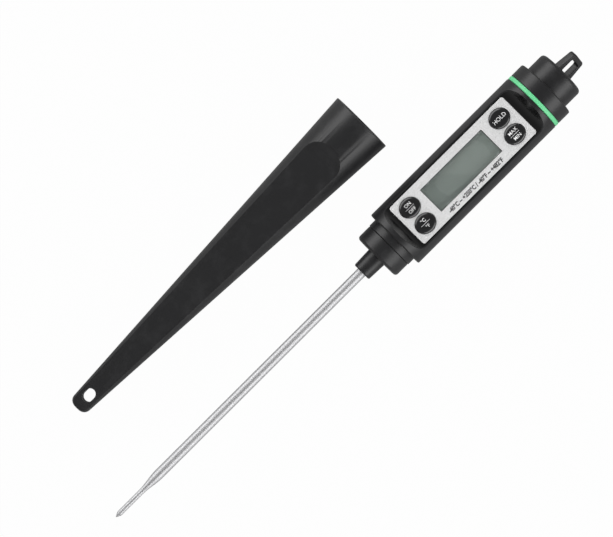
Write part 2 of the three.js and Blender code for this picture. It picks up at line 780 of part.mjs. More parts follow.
// A conical wire spring in the cap presses the cell onto its front contact.
class ConicalCoil extends THREE.Curve {
  getPoint(t, target = new THREE.Vector3()) {
    const x0 = cellFront + cellThickness + springWire + seat;
    const x1 = chamberEnd - springWire - seat;
    const radius = springNarrowRadius + (springWideRadius - springNarrowRadius) * t;
    const angle = 2 * Math.PI * springTurns * t;
    return target.set(x0 + (x1 - x0) * t, radius * Math.cos(angle), radius * Math.sin(angle));
  }
}
function capSpring() {
  const section = new THREE.Shape();
  const stepsPerTurn = 14;
  const steps = springTurns * stepsPerTurn;
  section.absarc(0, 0, springWire, 0, 2 * Math.PI, false);
  return new THREE.ExtrudeGeometry(section, { steps, curveSegments: 2, extrudePath: new ConicalCoil() });
}
place('cap_spring', capSpring(), steel);

// ---------- sheath ----------
// In its own group x runs from the closed end to the mouth; the group then lays it on the table.
const sheathSlope = (sheathMouthRadius - sheathEndRadius) / sheathLength;
function coneRadius(x) {
  return sheathEndRadius + sheathSlope * x;
}

function panelLine(inset) {
  const mouthX = sheathLength - panelFromMouth - panelScoop;
  const z0 = sheathEndRadius - panelEndDepth - inset;
  const z1 = coneRadius(mouthX) - panelMouthDepth - inset;
  return { mouthX, z0, z1 };
}

function sheathOuter() {
  const round = [[0, 0]];
  const steps = 3;
  for (let i = 0; i <= steps; i += 1) {
    const angle = (Math.PI / 2) * (i / steps);
    const radius = coneRadius(sheathEndRound) - sheathEndRound + sheathEndRound * Math.sin(angle);
    round.push([sheathEndRound * (1 - Math.cos(angle)), radius]);
  }
  return turned([...round, [sheathLength, sheathMouthRadius], [sheathLength, 0]]);
}

function sheathPanel() {
  const { mouthX, z0, z1 } = panelLine(0);
  const top = coneRadius(sheathLength - panelFromMouth);
  const rise = scoop(mouthX, z1, sheathLength - panelFromMouth, top);
  const above = sheathMouthRadius + past;
  return sideCut([[-past, above], [-past, z0], ...rise, [rise.at(-1)[0], above]], above);
}

function sheathCavity() {
  const innerEnd = coneRadius(sheathSolidEnd) - sheathWall;
  const gripBack = sheathLength - sheathGripLength;
  const cone = solid(turned([
    [sheathSolidEnd, 0],
    [sheathSolidEnd, innerEnd],
    [gripBack, coneRadius(gripBack) - sheathWall - sheathGripShoulder],
    [gripBack, 0],
  ]));
  const { mouthX, z0, z1 } = panelLine(sheathWall);
  const depth = 2 * sheathMouthRadius;
  const under = sideCut([[-past, -depth], [-past, z0], [mouthX, z1],
    [sheathLength, z1 + sheathRoofRise], [sheathLength, -depth]], sheathMouthRadius + past);
  const grip = cylinder(gripBack - past, sheathLength + past, sheathGripRadius);
  return cone.intersect(solid(under)).add(solid(grip));
}

function hangHole() {
  const half = (holeLength - holeWidth) / 2;
  const shape = new THREE.Shape();
  shape.absarc(holeFromEnd + half, 0, holeWidth / 2, -Math.PI / 2, Math.PI / 2, false);
  shape.absarc(holeFromEnd - half, 0, holeWidth / 2, Math.PI / 2, 1.5 * Math.PI, false);
  return raised(shape, -sheathMouthRadius, sheathMouthRadius, 8);
}

function sheath() {
  let body = solid(sheathOuter()).subtract(sheathCavity());
  body = body.subtract(solid(sheathPanel())).subtract(solid(hangHole()));
  return geometryOf(body);
}
place('sheath', sheath(), blackPlastic, sheathGroup);

// It lies on its lower side, so the closed end drops until the cone's lowest line is level.
const sheathTilt = Math.atan(sheathSlope * facetRatio);
const lowestAtEnd = sheathEndRadius * facetRatio;
sheathGroup.rotation.y = -sheathTilt;
sheathGroup.position.set(-bodyMiddle + sheathEndFromPoint, sheathBeside, lowestAtEnd * Math.cos(sheathTilt));

export default model;
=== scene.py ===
# Looks of a pocket meat thermometer and its sheath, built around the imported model.
# Metres throughout, in the model's own frame: +X from the point to the hang loop, +Z up.
import math

import bmesh
import bpy
from mathutils import Euler, Matrix, Vector


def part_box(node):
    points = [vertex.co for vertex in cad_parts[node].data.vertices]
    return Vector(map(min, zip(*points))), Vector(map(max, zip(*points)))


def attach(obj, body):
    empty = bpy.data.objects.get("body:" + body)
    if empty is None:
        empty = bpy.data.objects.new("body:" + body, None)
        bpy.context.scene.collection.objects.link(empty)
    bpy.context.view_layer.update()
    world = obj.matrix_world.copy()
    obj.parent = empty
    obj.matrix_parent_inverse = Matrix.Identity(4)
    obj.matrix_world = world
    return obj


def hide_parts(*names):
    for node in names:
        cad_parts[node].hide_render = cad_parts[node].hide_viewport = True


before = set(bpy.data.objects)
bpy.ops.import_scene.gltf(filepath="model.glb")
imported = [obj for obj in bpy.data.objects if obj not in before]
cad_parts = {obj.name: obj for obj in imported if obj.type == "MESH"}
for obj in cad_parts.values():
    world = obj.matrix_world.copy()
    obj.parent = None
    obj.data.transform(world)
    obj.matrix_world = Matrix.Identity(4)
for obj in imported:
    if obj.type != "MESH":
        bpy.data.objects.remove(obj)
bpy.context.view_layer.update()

MM = 0.001
scene = bpy.context.scene

# ---------- places read from the frame ----------


def span(node):
    """Where a turned node starts and ends along the axis, and its outer radius."""
    low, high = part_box(node)
    return low.x, high.x, (high.y - low.y) / 2


TIP, TUBE_END, TUBE_R = span("probe_tube")
AXIS_Z = (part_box("seal_ring")[0].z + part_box("seal_ring")[1].z) / 2
BOOT_FRONT = span("probe_boot")[0]
NOSE_FRONT, NECK_FRONT, NOSE_R = span("nose_cap")
SHELL_FRONT, SPIGOT_END, SHELL_R = span("handle_body")
SEAL_FRONT, SEAL_REAR, SEAL_R = span("seal_ring")
CAP_FRONT, LOOP_END, CAP_R = span("battery_cap")
LABEL_LOW, LABEL_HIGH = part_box("face_label")
WINDOW_LOW, WINDOW_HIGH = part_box("display_window")
GLASS_LOW, GLASS_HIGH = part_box("display_glass")
SHEATH_LOW, SHEATH_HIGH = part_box("sheath")
KEY_NAMES = ("power", "unit", "hold", "range")

FLAT_Z = LABEL_LOW.z - 0.05 * MM
LABEL_TOP = LABEL_HIGH.z
NECK_LENGTH = 3.1 * MM
BODY_FRONT = NECK_FRONT + NECK_LENGTH + 0.05 * MM
BODY_REAR = SEAL_FRONT - 0.05 * MM
NECK_R = 10.1 * MM
WALL = 1.8 * MM
SPIGOT_R = 10.0 * MM
BORE_R = 8.2 * MM
FLANGE_LENGTH = 5.7 * MM
KNOB_LENGTH = 8.3 * MM
KNOB_R = 9.75 * MM
FLANGE_REAR = CAP_FRONT + FLANGE_LENGTH
KNOB_REAR = FLANGE_REAR + KNOB_LENGTH

# ---------- camera, light and floor ----------

VIEW_HEIGHT = 1.5
FRAME_WIDTH = 225.9 * MM
VIEW_X = -66.2 * MM
VIEW_Y = 15.3 * MM
AXIS_ANGLE = math.radians(44.9)
VIEW_TILT = math.radians(2.3)
SENSOR = 36.0
LAMP_TILT = math.radians(60)
LAMP_POWER = 5.0
FILL_POWER = 6.0
FLOOR_SEEN = 0.98
FLOOR_MIRRORED = 0.12


def make_camera():
    """Almost straight down over the object, turned so that the handle runs up to the right."""
    data = bpy.data.cameras.new("camera")
    data.sensor_width = SENSOR
    data.lens = SENSOR * VIEW_HEIGHT / FRAME_WIDTH
    data.clip_start = 0.01
    data.clip_end = 50
    camera = bpy.data.objects.new("camera", data)
    aim = Matrix.Translation((VIEW_X, VIEW_Y, AXIS_Z))
    tilt = Matrix.Rotation(VIEW_TILT, 4, "X")
    turn = Matrix.Rotation(-AXIS_ANGLE, 4, "Z")
    camera.matrix_world = aim @ tilt @ turn @ Matrix.Translation((0, 0, VIEW_HEIGHT))
    scene.collection.objects.link(camera)
    scene.camera = camera


def soft_box(name, side, length, width, distance, power):
    """A lamp parallel to the handle, turned from the zenith towards +Y by the angle given."""
    data = bpy.data.lights.new(name, "AREA")
    data.shape = "RECTANGLE"
    data.size = length
    data.size_y = width
    data.energy = power
    lamp = bpy.data.objects.new(name, data)
    offset = Vector((0, math.sin(side), math.cos(side))) * distance
    lamp.location = Vector((0, 0, AXIS_Z)) + offset
    lamp.rotation_euler = (-side, 0, 0)
    scene.collection.objects.link(lamp)
    return lamp


def make_world():
    """White at the horizon, greyer overhead, and plain white where the camera sees it."""
    world = bpy.data.worlds.new("studio")
    world.use_nodes = True
    scene.world = world
    tree = world.node_tree
    tree.nodes.clear()
    output = tree.nodes.new("ShaderNodeOutputWorld")
    back = tree.nodes.new("ShaderNodeBackground")
    seen = tree.nodes.new("ShaderNodeBackground")
    seen.inputs["Color"].default_value = (1, 1, 1, 1)
    mix = tree.nodes.new("ShaderNodeMixShader")
    path = tree.nodes.new("ShaderNodeLightPath")
    place = tree.nodes.new("ShaderNodeTexCoord")
    split = tree.nodes.new("ShaderNodeSeparateXYZ")
    ramp = tree.nodes.new("ShaderNodeValToRGB")
    ramp.color_ramp.elements[0].position = 0.0
    ramp.color_ramp.elements[0].color = (0.5, 0.5, 0.5, 1)
    ramp.color_ramp.elements[1].position = 0.9
    ramp.color_ramp.elements[1].color = (0.24, 0.24, 0.24, 1)
    tree.links.new(place.outputs["Generated"], split.inputs[0])
    tree.links.new(split.outputs["Z"], ramp.inputs["Fac"])
    tree.links.new(ramp.outputs["Color"], back.inputs["Color"])
    tree.links.new(path.outputs["Is Camera Ray"], mix.inputs["Fac"])
    tree.links.new(back.outputs[0], mix.inputs[1])
    tree.links.new(seen.outputs[0], mix.inputs[2])
    tree.links.new(mix.outputs[0], output.inputs["Surface"])


def math_node(tree, operation, first, second, clamp=False):
    """A math node whose inputs are numbers or other nodes' outputs."""
    node = tree.nodes.new("ShaderNodeMath")
    node.operation = operation
    node.use_clamp = clamp
    for socket, value in zip(node.inputs, (first, second)):
        if isinstance(value, (int, float)):
            socket.default_value = value
        else:
            tree.links.new(value, socket)
    return node.outputs[0]


def make_floor():
    """White where it is seen, and a plainer grey for the light that it gives back."""
    bm = bmesh.new()
    bmesh.ops.create_grid(bm, x_segments=1, y_segments=1, size=6.0)
    mesh = bpy.data.meshes.new("floor")
    bm.to_mesh(mesh)
    bm.free()
    floor = bpy.data.objects.new("floor", mesh)
    scene.collection.objects.link(floor)
    material = bpy.data.materials.new("floor")
    material.use_nodes = True
    tree = material.node_tree
    shader = tree.nodes["Principled BSDF"]
    shader.inputs["Base Color"].default_value = (0.4, 0.4, 0.4, 1)
    shader.inputs["Roughness"].default_value = 0.9
    shader.inputs["Specular IOR Level"].default_value = 0.0
    glow = tree.nodes.new("ShaderNodeEmission")
    glow.inputs["Color"].default_value = (1, 1, 1, 1)
    mix = tree.nodes.new("ShaderNodeMixShader")
    path = tree.nodes.new("ShaderNodeLightPath")
    direct = math_node(tree, "ADD", path.outputs["Is Camera Ray"], path.outputs["Is Transmission Ray"], True)
    direct = math_node(tree, "MULTIPLY", direct, FLOOR_SEEN)
    mirrored = math_node(tree, "MULTIPLY", path.outputs["Is Glossy Ray"], FLOOR_MIRRORED)
    tree.links.new(math_node(tree, "MAXIMUM", direct, mirrored), mix.inputs["Fac"])
    tree.links.new(shader.outputs[0], mix.inputs[1])
    tree.links.new(glow.outputs[0], mix.inputs[2])
    tree.links.new(mix.outputs[0], tree.nodes["Material Output"].inputs["Surface"])
    mesh.materials.append(material)


def make_stage():
    make_camera()
    make_world()
    make_floor()
    soft_box("left_box", LAMP_TILT, 1.2, 0.5, 0.8, LAMP_POWER)
    soft_box("right_box", -LAMP_TILT, 1.2, 0.5, 0.8, LAMP_POWER)
    fill = soft_box("top_fill", 0.0, 1.6, 1.6, 1.4, FILL_POWER)
    fill.visible_glossy = False
    scene.view_settings.view_transform = "Standard"


# ---------- shared shader groups ----------


def new_group(name, inputs, outputs):
    group = bpy.data.node_groups.new(name, "ShaderNodeTree")
    for socket, kind, value in inputs:
        made = group.interface.new_socket(socket, in_out="INPUT", socket_type=kind)
        if value is not None:
            made.default_value = value
    for socket, kind in outputs:
        group.interface.new_socket(socket, in_out="OUTPUT", socket_type=kind)
    start = group.nodes.new("NodeGroupInput")
    end = group.nodes.new("NodeGroupOutput")
    return group, start, end


def noise(tree, vector, scale, detail=3.0, roughness=0.5):
    node = tree.nodes.new("ShaderNodeTexNoise")
    node.inputs["Detail"].default_value = detail
    node.inputs["Roughness"].default_value = roughness
    if isinstance(scale, (int, float)):
        node.inputs["Scale"].default_value = scale
    else:
        tree.links.new(scale, node.inputs["Scale"])
    tree.links.new(vector, node.inputs["Vector"])
    return node.outputs["Fac"]


def stretched(tree, vector, scale):
    node = tree.nodes.new("ShaderNodeMapping")
    node.inputs["Scale"].default_value = scale
    tree.links.new(vector, node.inputs["Vector"])
    return node.outputs["Vector"]


def mould_grain_group():
    """Fine pebbled texture of a moulded surface, as a height and a slow patchiness."""
    group, start, end = new_group(
        "mould_grain",
        [("Vector", "NodeSocketVector", None), ("Grain Scale", "NodeSocketFloat", 2600.0)],
        [("Height", "NodeSocketFloat"), ("Patches", "NodeSocketFloat")],
    )
    fine = noise(group, start.outputs["Vector"], start.outputs["Grain Scale"], 2.0)
    slow = noise(group, start.outputs["Vector"], 60.0, 2.0)
    group.links.new(fine, end.inputs["Height"])
    group.links.new(slow, end.inputs["Patches"])
    return group


def handling_group():
    """Faint rubs and hairline scratches from use, as a mask from 0 to 1."""
    group, start, end = new_group(
        "handling_marks",
        [("Vector", "NodeSocketVector", None)],
        [("Rubs", "NodeSocketFloat"), ("Scratches", "NodeSocketFloat")],
    )
    rubs = noise(group, start.outputs["Vector"], 180.0, 5.0, 0.65)
    rubs = math_node(group, "SUBTRACT", rubs, 0.5)
    rubs = math_node(group, "MULTIPLY", rubs, 4.0, True)
    lines = noise(group, stretched(group, start.outputs["Vector"], (60, 1400, 1400)), 1.0, 2.0)
    lines = math_node(group, "GREATER_THAN", lines, 0.72)
    group.links.new(rubs, end.inputs["Rubs"])
    group.links.new(lines, end.inputs["Scratches"])
    return group


def recess_group():
    """1 inside the handle's round outline by more than a skin's depth, 0 on its outer surface."""
    group, start, end = new_group(
        "recess_mask",
        [("Vector", "NodeSocketVector", None)],
        [("Inside", "NodeSocketFloat")],
    )
    split = group.nodes.new("ShaderNodeSeparateXYZ")
    group.links.new(start.outputs["Vector"], split.inputs[0])
    rise = math_node(group, "SUBTRACT", split.outputs["Z"], AXIS_Z)
    across = math_node(group, "POWER", split.outputs["Y"], 2.0)
    square = math_node(group, "ADD", across, math_node(group, "POWER", rise, 2.0))
    depth = math_node(group, "SUBTRACT", SHELL_R - 0.3 * MM, math_node(group, "SQRT", square, 0.0))
    inside = math_node(group, "MULTIPLY", depth, 4000.0, True)
    behind = math_node(group, "GREATER_THAN", split.outputs["X"], BODY_FRONT + MM)
    before = math_node(group, "LESS_THAN", split.outputs["X"], BODY_REAR - 0.8 * MM)
    within = math_node(group, "MULTIPLY", behind, before)
    group.links.new(math_node(group, "MULTIPLY", inside, within), end.inputs["Inside"])
    return group


GRAIN = mould_grain_group()
HANDLING = handling_group()
RECESS = recess_group()

# ---------- materials ----------


def base_material(name, color, roughness, metallic=0.0):
    material = bpy.data.materials.new(name)
    material.use_nodes = True
    tree = material.node_tree
    shader = tree.nodes["Principled BSDF"]
    shader.inputs["Base Color"].default_value = (*color, 1)
    shader.inputs["Roughness"].default_value = roughness
    shader.inputs["Metallic"].default_value = metallic
    place = tree.nodes.new("ShaderNodeTexCoord").outputs["Object"]
    return material, tree, shader, place


def add_group(tree, group, vector, **values):
    node = tree.nodes.new("ShaderNodeGroup")
    node.node_tree = group
    tree.links.new(vector, node.inputs["Vector"])
    for name, value in values.items():
        node.inputs[name.replace("_", " ")].default_value = value
    return node


def add_bump(tree, shader, height, strength, distance):
    bump = tree.nodes.new("ShaderNodeBump")
    bump.inputs["Strength"].default_value = strength
    bump.inputs["Distance"].default_value = distance
    tree.links.new(height, bump.inputs["Height"])
    tree.links.new(bump.outputs[0], shader.inputs["Normal"])


def blend_color(tree, factor, first, second):
    mix = tree.nodes.new("ShaderNodeMix")
    mix.data_type = "RGBA"
    mix.inputs["A"].default_value = (*first, 1)
    mix.inputs["B"].default_value = (*second, 1)
    tree.links.new(factor, mix.inputs["Factor"])
    return mix.outputs["Result"]


def blend_value(tree, factor, first, second):
    spread = math_node(tree, "MULTIPLY", factor, second - first)
    return math_node(tree, "ADD", spread, first)


def moulded_plastic(name, color, roughness, spread, grain_height, grain_scale=2600.0):
    """Injection-moulded plastic: fine grain, patchy sheen, faint rubs."""
    material, tree, shader, place = base_material(name, color, roughness)
    grain = add_group(tree, GRAIN, place, Grain_Scale=grain_scale)
    marks = add_group(tree, HANDLING, place)
    lighter = tuple(c * 1.5 + 0.002 for c in color)
    tint = blend_color(tree, marks.outputs["Rubs"], color, lighter)
    tree.links.new(tint, shader.inputs["Base Color"])
    rough = blend_value(tree, grain.outputs["Patches"], roughness - spread, roughness + spread)
    rough = math_node(tree, "ADD", rough, math_node(tree, "MULTIPLY", marks.outputs["Rubs"], 0.05))
    tree.links.new(rough, shader.inputs["Roughness"])
    add_bump(tree, shader, grain.outputs["Height"], 0.5, grain_height)
    return material


def shell_plastic():
    """The handle's black plastic, glossier where the display recess is cut in, and darkened there by painted shade.
    """
    material = moulded_plastic("shell_plastic", BLACK_COLOR, 0.38, 0.05, 0.00002)
    tree = material.node_tree
    shader = tree.nodes["Principled BSDF"]
    mask = tree.nodes.new("ShaderNodeGroup")
    mask.node_tree = RECESS
    tree.links.new(tree.nodes["Texture Coordinate"].outputs["Object"], mask.inputs["Vector"])
    tint = shader.inputs["Base Color"].links[0].from_socket
    rough = shader.inputs["Roughness"].links[0].from_socket
    # Painted shade: inside the display recess the base colour is darkened to a fifth.
    unshaded_share = math_node(tree, "SUBTRACT", 1.0, math_node(tree, "MULTIPLY", mask.outputs["Inside"], 0.8))
    recess_painted_shade = tree.nodes.new("ShaderNodeVectorMath")
    recess_painted_shade.operation = "SCALE"
    tree.links.new(tint, recess_painted_shade.inputs["Vector"])
    tree.links.new(unshaded_share, recess_painted_shade.inputs["Scale"])
    tree.links.new(recess_painted_shade.outputs["Vector"], shader.inputs["Base Color"])
    drop = math_node(tree, "MULTIPLY", mask.outputs["Inside"], 0.2)
    tree.links.new(math_node(tree, "SUBTRACT", rough, drop), shader.inputs["Roughness"])
    return material


def drawn_steel():
    """Polished drawn tube: fine rings round it, faint lengthwise smears."""
    material, tree, shader, place = base_material("drawn_steel", (0.6, 0.6, 0.61), 0.54, 0.95)
    rings = noise(tree, stretched(tree, place, (9000, 60, 60)), 1.0, 2.0)
    smears = noise(tree, stretched(tree, place, (40, 400, 400)), 1.0, 4.0)
    rough = blend_value(tree, smears, 0.51, 0.57)
    tree.links.new(rough, shader.inputs["Roughness"])
    tint = blend_color(tree, smears, (0.56, 0.56, 0.57), (0.6, 0.6, 0.61))
    tree.links.new(tint, shader.inputs["Base Color"])
    add_bump(tree, shader, rings, 0.1, 0.0000005)
    return material


def label_plate():
    """Light grey plate with a fine silvery grain."""
    material, tree, shader, place = base_material("label_plate", (0.74, 0.74, 0.74), 0.42, 0.2)
    sparkle = noise(tree, place, 2600.0, 2.0, 0.7)
    cloud = noise(tree, place, 120.0, 3.0)
    tint = blend_color(tree, sparkle, (0.42, 0.42, 0.42), (1.0, 1.0, 1.0))
    tree.links.new(tint, shader.inputs["Base Color"])
    tree.links.new(blend_value(tree, cloud, 0.36, 0.5), shader.inputs["Roughness"])
    add_bump(tree, shader, sparkle, 0.3, 0.00001)
    return material


# Offset of the slanted line beyond which the display gets its painted sheen.
SHEEN_EDGE = 2.7 * MM


def display_glass():
    """Grey-green display, with a painted sheen that makes it a little lighter beyond a slanted line across it."""
    material, tree, shader, place = base_material("display_grey", (0.185, 0.215, 0.195), 0.32)
    place_split = tree.nodes.new("ShaderNodeSeparateXYZ")
    tree.links.new(place, place_split.inputs[0])
    # Painted sheen: beyond a slanted line the display's colour is made lighter, standing in for a reflection on it.
    slope = math_node(tree, "ADD", place_split.outputs["X"], place_split.outputs["Y"])
    past_sheen_edge = math_node(tree, "ADD", slope, SHEEN_EDGE)
    film_and_sheen = math_node(tree, "MULTIPLY", past_sheen_edge, 800.0, True)
    mottle = noise(tree, place, 900.0, 3.0)
    share = math_node(tree, "ADD", math_node(tree, "MULTIPLY", mottle, 0.15), film_and_sheen, True)
    tint = blend_color(tree, share, (0.106, 0.127, 0.115), (0.13, 0.153, 0.139))
    tree.links.new(tint, shader.inputs["Base Color"])
    tree.links.new(blend_value(tree, mottle, 0.26, 0.36), shader.inputs["Roughness"])
    return material


def clear_window():
    material, tree, shader, place = base_material("clear_window", (0.97, 0.99, 0.98), 0.03)
    shader.inputs["Transmission Weight"].default_value = 1.0
    shader.inputs["IOR"].default_value = 1.46
    smudge = noise(tree, place, 160.0, 4.0)
    tree.links.new(blend_value(tree, smudge, 0.01, 0.07), shader.inputs["Roughness"])
    return material


def silicone(name, color, roughness):
    """Soft silicone: slight mottle and a satin skin."""
    material, tree, shader, place = base_material(name, color, roughness)
    shader.inputs["Subsurface Weight"].default_value = 0.12
    shader.inputs["Subsurface Radius"].default_value = (0.001, 0.001, 0.001)
    mottle = noise(tree, place, 500.0, 4.0)
    darker = tuple(c * 0.82 for c in color)
    tree.links.new(blend_color(tree, mottle, darker, color), shader.inputs["Base Color"])
    tree.links.new(blend_value(tree, mottle, roughness - 0.1, roughness + 0.1), shader.inputs["Roughness"])
    add_bump(tree, shader, noise(tree, place, 3000.0, 2.0), 0.4, 0.00001)
    return material


def plated_metal(name, color, low, high):
    material, tree, shader, place = base_material(name, color, low, 1.0)
    cloud = noise(tree, place, 700.0, 4.0)
    darker = tuple(c * 0.85 for c in color)
    tree.links.new(blend_color(tree, cloud, darker, color), shader.inputs["Base Color"])
    tree.links.new(blend_value(tree, cloud, low, high), shader.inputs["Roughness"])
    add_bump(tree, shader, cloud, 0.2, 0.00001)
    return material


def circuit_lacquer():
    """Green solder mask with copper tracks showing through."""
    material, tree, shader, place = base_material("circuit_lacquer", (0.02, 0.16, 0.06), 0.3)
    tracks = tree.nodes.new("ShaderNodeTexBrick")
    tracks.inputs["Scale"].default_value = 320.0
    tracks.inputs["Color1"].default_value = (0.02, 0.16, 0.06, 1)
    tracks.inputs["Color2"].default_value = (0.018, 0.14, 0.05, 1)
    tracks.inputs["Mortar"].default_value = (0.06, 0.28, 0.08, 1)
    tree.links.new(place, tracks.inputs["Vector"])
    tree.links.new(tracks.outputs["Color"], shader.inputs["Base Color"])
    tree.links.new(blend_value(tree, noise(tree, place, 400.0), 0.2, 0.4), shader.inputs["Roughness"])
    return material


BLACK_COLOR = (0.0095, 0.0095, 0.0103)
BLACK = moulded_plastic("black_plastic", BLACK_COLOR, 0.38, 0.05, 0.00002)
SHELL_BLACK = shell_plastic()
KEY_BLACK = moulded_plastic("key_black", (0.004, 0.004, 0.0045), 0.14, 0.04, 0.000003)
KEY_BLACK.node_tree.nodes["Principled BSDF"].inputs["Specular IOR Level"].default_value = 0.8
STEEL = drawn_steel()
LABEL = label_plate()
DISPLAY = display_glass()
WINDOW = clear_window()
GREEN = silicone("seal_green", (0.17, 0.74, 0.34), 0.45)
RUBBER = silicone("dark_rubber", (0.03, 0.03, 0.03), 0.6)
BOARD = circuit_lacquer()
EPOXY = moulded_plastic("black_epoxy", (0.01, 0.01, 0.01), 0.3, 0.05, 0.00001)
WHITE_PLASTIC = moulded_plastic("white_plastic", (0.78, 0.78, 0.74), 0.45, 0.05, 0.00001)
NICKEL = plated_metal("nickel", (0.62, 0.6, 0.56), 0.2, 0.35)
CELL_STEEL = plated_metal("cell_steel", (0.66, 0.66, 0.67), 0.15, 0.3)
RED_WIRE = silicone("red_insulation", (0.43, 0.03, 0.03), 0.4)
BLACK_WIRE = silicone("black_insulation", (0.02, 0.02, 0.02), 0.4)
WHITE_INK = moulded_plastic("white_ink", (0.75, 0.75, 0.75), 0.5, 0.05, 0.000002)
BLACK_INK = moulded_plastic("black_ink", (0.03, 0.03, 0.03), 0.5, 0.05, 0.000002)

# ---------- making pieces ----------

SIDES = 128


def finished(name, bm, material, body, nodes=(), sharp=32):
    """Turns a bmesh into a piece that rides on a body, in smooth shading with sharp edges kept."""
    bmesh.ops.remove_doubles(bm, verts=bm.verts, dist=1e-7)
    mesh = bpy.data.meshes.new(name)
    bm.to_mesh(mesh)
    bm.free()
    return dressed(name, mesh, material, body, nodes, sharp)


def dressed(name, mesh, material, body, nodes=(), sharp=32):
    mesh.shade_smooth()
    mesh.set_sharp_from_angle(angle=math.radians(sharp))
    mesh.materials.clear()
    mesh.materials.append(material)
    piece = bpy.data.objects.new(name, mesh)
    scene.collection.objects.link(piece)
    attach(piece, body)
    if nodes:
        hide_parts(*nodes)
    return piece


def rounded(points, steps=6):
    """A profile of (x, r, fillet) corners with every fillet drawn as an arc."""
    count = len(points)
    line = []
    for i, (x, r, fillet) in enumerate(points):
        here = Vector((x, r))
        if fillet <= 0:
            line.append(here)
            continue
        before = Vector(points[i - 1][:2]) - here
        after = Vector(points[(i + 1) % count][:2]) - here
        half = before.angle(after) / 2
        reach = fillet / math.tan(half)
        start = here + before.normalized() * reach
        stop = here + after.normalized() * reach
        centre = here + (before.normalized() + after.normalized()).normalized() * (fillet / math.sin(half))
        turn = (start - centre).angle_signed(stop - centre)
        support = min(fillet * 0.35, 0.15 * MM)
        line.append(start + before.normalized() * support)
        for k in range(steps + 1):
            line.append(centre + Matrix.Rotation(-turn * k / steps, 2) @ (start - centre))
        line.append(stop + after.normalized() * support)
    return line


def spun(points, sides=SIDES, fillets=6, centre=(0.0, AXIS_Z)):
    """A closed profile of (x, r, fillet) corners, spun about the handle's axis."""
    bm = bmesh.new()
    line = rounded(points, fillets)
    verts = [bm.verts.new((p.x, centre[0], centre[1] + p.y)) for p in line]
    edges = [bm.edges.new((a, b)) for a, b in zip(verts, verts[1:] + verts[:1])
             if not (a.co.z - centre[1] < 1e-9 and b.co.z - centre[1] < 1e-9)]
    bmesh.ops.spin(bm, geom=verts + edges, cent=(0, *centre), axis=(1, 0, 0), dvec=(0, 0, 0),
                   angle=2 * math.pi, steps=sides, use_merge=True, use_duplicate=False)
    bmesh.ops.remove_doubles(bm, verts=bm.verts, dist=1e-7)
    loose = [v for v in bm.verts if not v.link_faces]
    bmesh.ops.delete(bm, geom=loose, context="VERTS")
    bmesh.ops.recalc_face_normals(bm, faces=bm.faces)
    return bm


def prism(outline, low, high, axis="Z"):
    """A flat outline in the plane across an axis, raised along that axis from low to high."""
    bm = bmesh.new()
    if axis == "Z":
        verts = [bm.verts.new((x, y, low)) for x, y in outline]
        lift = (0, 0, high - low)
    elif axis == "X":
        verts = [bm.verts.new((low, y, z)) for y, z in outline]
        lift = (high - low, 0, 0)
    else:
        verts = [bm.verts.new((x, low, z)) for x, z in outline]
        lift = (0, high - low, 0)
    face = bm.faces.new(verts)
    raised = bmesh.ops.extrude_face_region(bm, geom=[face])
    top = [g for g in raised["geom"] if isinstance(g, bmesh.types.BMVert)]
    bmesh.ops.translate(bm, verts=top, vec=lift)
    bmesh.ops.recalc_face_normals(bm, faces=bm.faces)
    return bm


def block(low, high):
    bm = bmesh.new()
    bmesh.ops.create_cube(bm, size=1.0)
    size = [b - a for a, b in zip(low, high)]
    middle = [(a + b) / 2 for a, b in zip(low, high)]
    bmesh.ops.scale(bm, verts=bm.verts, vec=size)
    bmesh.ops.translate(bm, verts=bm.verts, vec=middle)
    return bm


def oval(x, y, length, width, low, high, sides=64):
    bm = bmesh.new()
    bmesh.ops.create_cone(bm, cap_ends=True, segments=sides, radius1=0.5, radius2=0.5, depth=1.0)
    bmesh.ops.scale(bm, verts=bm.verts, vec=(length, width, high - low))
    bmesh.ops.translate(bm, verts=bm.verts, vec=(x, y, (low + high) / 2))
    return bm


def mesh_of(bm, name="scrap"):
    mesh = bpy.data.meshes.new(name)
    bm.to_mesh(mesh)
    bm.free()
    return mesh


def carved(bm, cuts=(), joins=(), bevel=0.0, bevel_steps=3, angle=25):
    """Cuts and joins solids, then rounds the edges that are left sharp; gives one mesh back."""
    piece = bpy.data.objects.new("work", mesh_of(bm))
    scene.collection.objects.link(piece)
    helpers = []
    for kind, group in (("UNION", joins), ("DIFFERENCE", cuts)):
        for other in group:
            helper = bpy.data.objects.new("helper", mesh_of(other))
            scene.collection.objects.link(helper)
            helpers.append(helper)
            step = piece.modifiers.new(kind, "BOOLEAN")
            step.operation = kind
            step.solver = "EXACT"
            step.object = helper
    if bevel > 0:
        round_off = piece.modifiers.new("round_off", "BEVEL")
        round_off.width = bevel
        round_off.segments = bevel_steps
        round_off.limit_method = "ANGLE"
        round_off.angle_limit = math.radians(angle)
        round_off.use_clamp_overlap = True
    graph = bpy.context.evaluated_depsgraph_get()
    mesh = bpy.data.meshes.new_from_object(piece.evaluated_get(graph))
    for made in [piece, *helpers]:
        bpy.data.objects.remove(made)
    return mesh


def curved_ramp(x0, z0, x1, z1, sweep=35, steps=10):
    """Points that rise from a flat floor in a concave curve."""
    turn = math.radians(sweep)
    return [(x0 + (x1 - x0) * math.sin(turn * i / steps) / math.sin(turn),
             z0 + (z1 - z0) * (1 - math.cos(turn * i / steps)) / (1 - math.cos(turn)))
            for i in range(steps + 1)]


# ---------- probe ----------

POINT_LENGTH = 1.6 * MM
NEEDLE_END = TIP + 13.0 * MM
SWAGE_END = TIP + 22.5 * MM
NEEDLE_R = 1.05 * MM


def smooth_step(t):
    return t * t * (3 - 2 * t)


